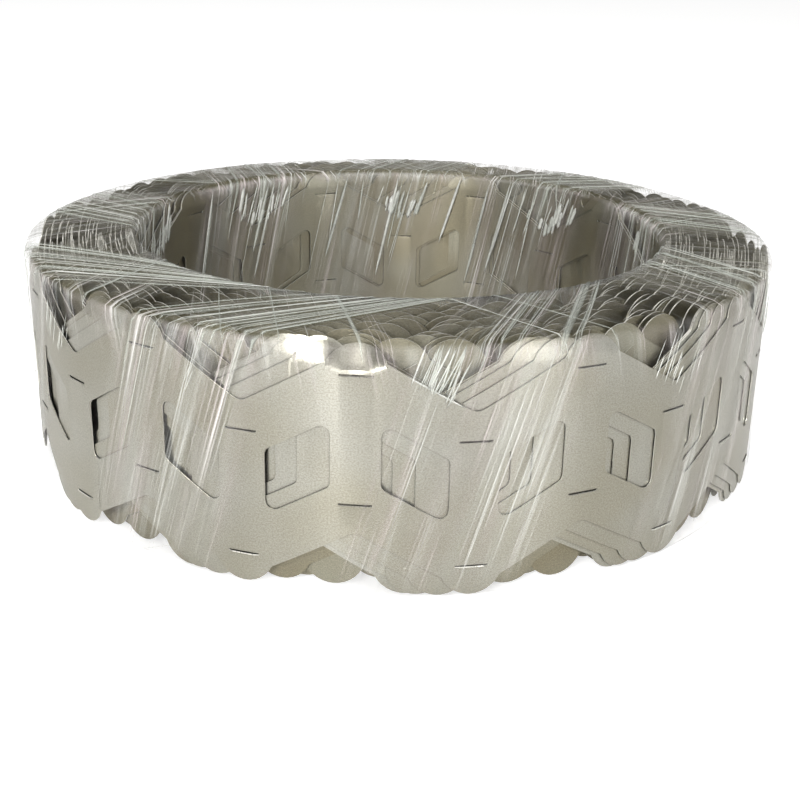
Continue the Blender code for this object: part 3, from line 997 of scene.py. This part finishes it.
def gathered_film(finishes):
    """Stretch film gathered into strands: glossy and milky, each strand a little different."""
    material, tree = new_material("gathered_stretch_film")
    uv = add_node(tree, "UVMap", uv_map="flat")
    tone = add_node(tree, "SeparateXYZ", {0: uv.outputs[0]}).outputs[0]
    # A strand thins and thickens along its length, every 3 mm or so.
    patchy = span(tree, noise_at(tree, 0.02, 3 * MM), 0.3, 0.6, 0.45, 1.0)
    alpha = reckon(tree, "MULTIPLY", span(tree, tone, 0.0, 1.0, 0.2, 0.8), patchy)
    shader = add_node(tree, "BsdfPrincipled", {
        "Base Color": blend_colours(tree, tone, finishes.film_tint, finishes.film),
        "Roughness": 0.18, "IOR": 1.5, "Alpha": alpha,
    })
    surface(tree, shader)
    return material


def sheet_white():
    """Matt white card under the coil. It is lifted to white for the camera, shadow and all."""
    material, tree = new_material("white_card")
    card = add_node(tree, "BsdfDiffuse", {"Color": (0.86, 0.86, 0.85, 1.0)})
    path = add_node(tree, "LightPath")
    clear = reckon(
        tree, "MAXIMUM", path.outputs["Is Camera Ray"], path.outputs["Is Transmission Ray"]
    )
    for_camera = reckon(tree, "MULTIPLY", clear, 0.68)
    for_gloss = reckon(tree, "MULTIPLY", path.outputs["Is Glossy Ray"], 0.22)
    lift = add_node(tree, "Emission", {"Strength": reckon(tree, "ADD", for_camera, for_gloss)})
    both = add_node(tree, "AddShader", {0: card.outputs[0], 1: lift.outputs[0]})
    surface(tree, both)
    return material


def shaped_parts(context):
    """The pattern and the winding, from the sizes in the scene."""
    scene = context.scene
    pattern = Pattern(scene.strip_sizes)
    return pattern, Winding(scene.coil_sizes, pattern)


def bands(context):
    """The two times that the film goes round."""
    film = context.scene.film_sizes
    pattern, winding = shaped_parts(context)
    section = Section(winding, pattern, film)
    rakes = [math.radians(rake) for rake in LAP_RAKES]
    return (
        Band(section, film.laps, film.front, film.wall_turn, rakes),
        Band(section, film.laps, film.second_front, film.second_turn, [film.second_rake]),
    )


def column_at(winding, turns):
    """The column of the strip nearest to a number of turns in from the front."""
    return round(winding.along(turns * 2 * math.pi) / winding.pattern.pitch)


class COIL_OT_strip(bpy.types.Operator):
    """Wind the strip, from its outer end to its inner one, in four pieces that follow on"""

    bl_idname = "coil.strip"
    bl_label = "Strip"

    def execute(self, context):
        scene = context.scene
        coil, finishes = scene.coil_sizes, scene.finishes
        pattern, winding = shaped_parts(context)
        satin = rolled_nickel(
            "rolled_nickel_satin", finishes.nickel, finishes.nickel_warm,
            roughness=0.34, anisotropy=0.75,
        )
        # The turns inside are rougher, and their darker colours are painted shade.
        dull_shaded_nickel = rolled_nickel(
            "rolled_nickel_dull_painted_shade", finishes.nickel_dull_painted_shade, finishes.nickel_olive_painted_shade,
            roughness=0.48, anisotropy=0.4,
        )
        edge = cut_nickel(finishes)
        first = -coil.start_columns
        for name, end, punched, face in (
            ("strip_outer_turns", round(coil.outer_turns / 2) + 0.5, True, satin),
            ("strip_next_turns", coil.outer_turns, True, satin),
            # The turns between show only their edges, so they have no windows.
            ("strip_middle_turns", coil.turns - coil.bore_turns, False, dull_shaded_nickel),
            ("strip_bore_turns", coil.turns, True, dull_shaded_nickel),
        ):
            last = column_at(winding, end)
            bm = strip_surface(pattern, winding, first, last, punched)
            piece = new_piece(name, bm, face, "nickel_strip_coil")
            piece.data.materials.append(edge)
            thicken(piece, scene.strip_sizes.thickness)
            first = last
        return {"FINISHED"}


class COIL_OT_film_skin(bpy.types.Operator):
    """Wrap the band of film through the bore and round the wall"""

    bl_idname = "coil.film_skin"
    bl_label = "Film Skin"

    def execute(self, context):
        scene = context.scene
        winding = shaped_parts(context)[1]
        material = stretched_film(scene.finishes)
        first, second = bands(context)
        film = scene.film_sizes
        for name, band, width, covers, seed in (
            ("film_skin", first, film.width, (1.0, 1.5, 0.5), 0),
            ("film_second_skin", second, film.second_width, (0.06, 1.1, 0.8), 5),
        ):
            bm = film_skin(winding, band, film, width, covers, seed)
            new_piece(name, bm, material, "stretch_film")
        return {"FINISHED"}


class COIL_OT_film_strands(bpy.types.Operator):
    """Lay the strands into which the film has gathered"""

    bl_idname = "coil.film_strands"
    bl_label = "Film Strands"

    def execute(self, context):
        scene = context.scene
        pattern, winding = shaped_parts(context)
        material = gathered_film(scene.finishes)
        first, second = bands(context)
        film = scene.film_sizes
        runs = (
            ("film_band_strands", band_strands(winding, first, film, 14, 0.12, 5)),
            ("film_cross_strands", band_strands(winding, second, film, 3, 0.0, 11)),
            ("film_bore_strands", bore_strands(winding, first, film)),
            ("film_notch_strands", notch_strands(winding, first.section, pattern)),
            ("film_bore_notch_strands", bore_notch_strands(
                winding, first.section, pattern, scene.coil_sizes.turns)),
        )
        strands = [
            new_piece(name, bm, material, "stretch_film") for name, bm in runs
        ]
        return {"FINISHED"}


def add_lamp(name, place, target, size, power):
    """A soft rectangular lamp that faces a point."""
    data = bpy.data.lights.new(name, "AREA")
    data.shape = "RECTANGLE"
    data.size, data.size_y = size
    data.energy = power
    lamp = bpy.data.objects.new(name, data)
    lamp.location = place
    lamp.rotation_mode = "QUATERNION"
    lamp.rotation_quaternion = (Vector(place) - Vector(target)).to_track_quat("Z", "Y")
    bpy.context.scene.collection.objects.link(lamp)


def set_world(strength):
    """A plain room: white for the camera, and softer for what it lights and what mirrors it."""
    world = bpy.data.worlds.new("white_room")
    bpy.context.scene.world = world
    world.use_nodes = True
    tree = world.node_tree
    tree.nodes.clear()
    path = add_node(tree, "LightPath")
    mirrored = reckon(
        tree, "MAXIMUM", path.outputs["Is Glossy Ray"], path.outputs["Is Transmission Ray"]
    )
    # The room darkens upwards, as a room does over a table that is lit from the sides.
    place = add_node(tree, "TexCoord")
    up = add_node(tree, "SeparateXYZ", {0: place.outputs["Generated"]}).outputs[2]
    room = span(tree, up, 0.0, 0.75, strength, 0.35 * strength)
    gloss = span(tree, up, 0.0, 0.5, 0.95, 0.20)
    lit = add_node(tree, "Mix", {"Factor": mirrored, 2: room, 3: gloss})
    camera = path.outputs["Is Camera Ray"]
    level = add_node(tree, "Mix", {"Factor": camera, 2: lit.outputs[0], 3: 1.0}).outputs[0]
    back = add_node(tree, "Background", {"Color": (1.0, 1.0, 1.0, 1.0), "Strength": level})
    surface(tree, back, "OutputWorld")


def add_camera(studio):
    """The camera where the photograph was taken from."""
    data = bpy.data.cameras.new("camera")
    data.sensor_width = SENSOR_WIDTH
    data.lens = SENSOR_WIDTH * studio.focal_pixels / IMAGE_WIDTH
    data.clip_start = 0.01
    camera = bpy.data.objects.new("camera", data)
    forward = Vector((0.0, math.cos(studio.elevation), -math.sin(studio.elevation)))
    right = Vector((1.0, 0.0, 0.0))
    up = right.cross(forward)
    across = math.cos(studio.roll) * right + math.sin(studio.roll) * up
    upright = math.cos(studio.roll) * up - math.sin(studio.roll) * right
    turn = Matrix((across, upright, -forward)).transposed()
    target = Vector((studio.look_right, 0.0, studio.look_height))
    camera.matrix_world = Matrix.Translation(target - forward * studio.distance) @ turn.to_4x4()
    bpy.context.scene.collection.objects.link(camera)
    bpy.context.scene.camera = camera


class COIL_OT_stage(bpy.types.Operator):
    """Set up the white card, the room, the lamps and the camera"""

    bl_idname = "coil.stage"
    bl_label = "Stage"

    def execute(self, context):
        studio = context.scene.studio
        bm = bmesh.new()
        bmesh.ops.create_grid(bm, x_segments=1, y_segments=1, size=4.0)
        mesh = bpy.data.meshes.new("card")
        bm.to_mesh(mesh)
        bm.free()
        mesh.materials.append(sheet_white())
        card = bpy.data.objects.new("card", mesh)
        card.location.z = min(CAD_BOX[0].z, 0.0)
        context.scene.collection.objects.link(card)
        set_world(studio.room)
        middle = (0.0, 0.0, 0.02)
        for name, place, size, power in (
            # The band of light up the wall, below the bent tab, is this lamp's reflection.
            ("left_box", (-0.212, -0.652, 0.305), (0.12, 0.30), 3.3),
            ("right_box", (0.42, -0.56, 0.20), (0.14, 0.26), 1.1),
            # The bent tabs mirror this one.
            ("high_box", (-0.060, -0.405, 0.479), (0.58, 0.58), 1.5),
            ("top_box", (-0.10, 0.30, 0.65), (0.45, 0.35), 0.9),
        ):
            add_lamp(name, place, middle, size, power)
        add_camera(studio)
        context.scene.view_settings.view_transform = "Standard"
        return {"FINISHED"}


class COIL_PT_panel(bpy.types.Panel):
    """Makes the coil step by step, and lists its sizes, colours and light"""

    bl_idname = "COIL_PT_panel"
    bl_label = "Strip Coil"
    bl_space_type = "VIEW_3D"
    bl_region_type = "UI"
    bl_category = "Strip Coil"

    def draw(self, context):
        for step in STEPS:
            self.layout.operator(step.bl_idname)
        for group in GROUPS:
            settings = getattr(context.scene, group)
            for name in settings.bl_rna.properties.keys():
                if name not in ("rna_type", "name"):
                    self.layout.prop(settings, name)


STEPS = (COIL_OT_strip, COIL_OT_film_skin, COIL_OT_film_strands, COIL_OT_stage)
GROUPS = {
    "strip_sizes": StripSizes, "coil_sizes": CoilSizes, "film_sizes": FilmSizes,
    "finishes": Finishes, "studio": Studio,
}


def register():
    for group in GROUPS.values():
        bpy.utils.register_class(group)
    for name, group in GROUPS.items():
        setattr(bpy.types.Scene, name, PointerProperty(type=group))
    for step in STEPS:
        bpy.utils.register_class(step)
    bpy.utils.register_class(COIL_PT_panel)


def unregister():
    bpy.utils.unregister_class(COIL_PT_panel)
    for step in reversed(STEPS):
        bpy.utils.unregister_class(step)
    for name, group in reversed(GROUPS.items()):
        delattr(bpy.types.Scene, name)
        bpy.utils.unregister_class(group)


def main():
    """Make every piece in order."""
    register()
    for step in STEPS:
        group, name = step.bl_idname.split(".")
        getattr(getattr(bpy.ops, group), name)()


if __name__ == "__main__":
    main()
